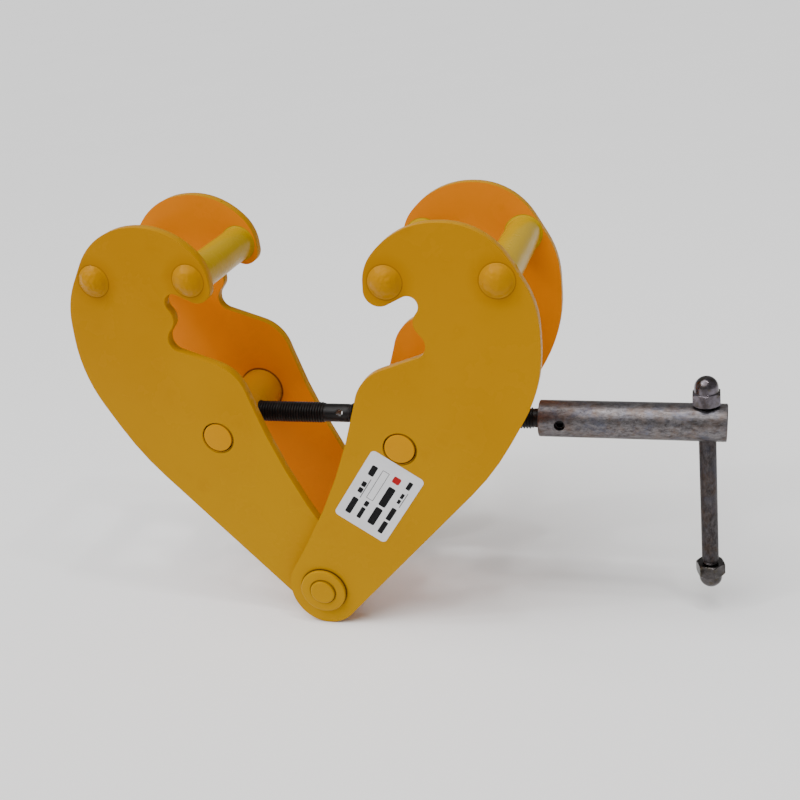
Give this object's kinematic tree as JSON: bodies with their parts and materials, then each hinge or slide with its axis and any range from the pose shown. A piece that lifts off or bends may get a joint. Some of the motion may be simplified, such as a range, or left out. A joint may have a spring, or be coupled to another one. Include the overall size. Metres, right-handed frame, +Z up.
{
  "type": "adjustable beam clamp",
  "caption": "Adjustable screw beam clamp: paired hook plates pivot on a load pin and close on a beam's flange as a twin-thread spindle is turned by its sliding bar handle.",
  "frame": {"origin": "middle of the load pin, on its axis", "axes": "+X along the spindle to the handle, +Y along the load pin away from the label, +Z up to the hooks"},
  "size_m": [0.4327, 0.1184, 0.2902],
  "materials": {
    "yellow_paint": "glossy golden yellow enamel, worn thin on edges",
    "black_oxide": "black oxide, oiled",
    "bare_steel": "turned bare steel with brown tarnish",
    "dark_steel": "dark rolled steel",
    "zinc_plate": "dulled zinc plate",
    "label": "silver-grey printed foil with plain bars and no text"
  },
  "bodies": {
    "load_pin": {"load_pin": "yellow_paint", "front_pin_collar": "yellow_paint", "rear_pin_collar": "yellow_paint"},
    "right_arm": {"front_right_plate": "yellow_paint", "rear_right_plate": "yellow_paint", "right_outer_spacer": "yellow_paint", "right_inner_spacer": "yellow_paint", "right_outer_rivet": "yellow_paint", "right_inner_rivet": "yellow_paint", "rating_label": "label"},
    "left_arm": {"front_left_plate": "yellow_paint", "rear_left_plate": "yellow_paint", "left_outer_spacer": "yellow_paint", "left_inner_spacer": "yellow_paint", "left_outer_rivet": "yellow_paint", "left_inner_rivet": "yellow_paint"},
    "right_nut": {"right_trunnion_nut": "yellow_paint"},
    "left_nut": {"left_trunnion_nut": "yellow_paint"},
    "screw_travel": {"handle_end_plug": "dark_steel"},
    "screw": {"spindle": "black_oxide", "handle_sleeve": "bare_steel", "handle_spring_pin": "dark_steel"},
    "sliding_bar": {"tommy_bar": "dark_steel", "upper_cap_nut": "zinc_plate", "lower_cap_nut": "zinc_plate"}
  },
  "joints": [
    {"name": "right_arm_swing", "type": "hinge", "parent": "load_pin", "child": "right_arm", "pos_m": [0, 0, 0], "axis": [0, 1, 0], "range_deg": [-11.9, 25]},
    {"name": "left_arm_swing", "type": "hinge", "parent": "load_pin", "child": "left_arm", "pos_m": [0, 0, 0], "axis": [0, -1, 0], "range_deg": [-12, 25.1]},
    {"name": "right_nut_turn", "type": "hinge", "parent": "right_arm", "child": "right_nut", "pos_m": [0.066, 0, 0.1142], "axis": [0, -1, 0], "range_deg": [-12, 25.1]},
    {"name": "left_nut_turn", "type": "hinge", "parent": "left_arm", "child": "left_nut", "pos_m": [-0.066, 0, 0.1142], "axis": [0, 1, 0], "range_deg": [-12, 25.1]},
    {"name": "screw_feed", "type": "slide", "parent": "right_nut", "child": "screw_travel", "axis": [-1, 0, 0], "range_m": [-0.02222, 0.046]},
    {"name": "spindle_spin", "type": "hinge", "parent": "screw_travel", "child": "screw", "pos_m": [0.2, 0, 0.1142], "axis": [1, 0, 0], "range_deg": [-3910, 8190]},
    {"name": "bar_slide", "type": "slide", "parent": "screw", "child": "sliding_bar", "axis": [-0.0558, 0, 0.9984], "range_m": [0, 0.0915]}
  ],
  "couplings": [
    {"joint": "left_arm_swing", "follows": "right_arm_swing", "ratio": 1},
    {"joint": "right_nut_turn", "follows": "right_arm_swing", "ratio": 1},
    {"joint": "left_nut_turn", "follows": "right_arm_swing", "ratio": 1},
    {"joint": "screw_feed", "follows": "right_arm_swing", "m_per_rad": 0.10409},
    {"joint": "spindle_spin", "follows": "right_arm_swing", "ratio": 327.01}
  ]
}
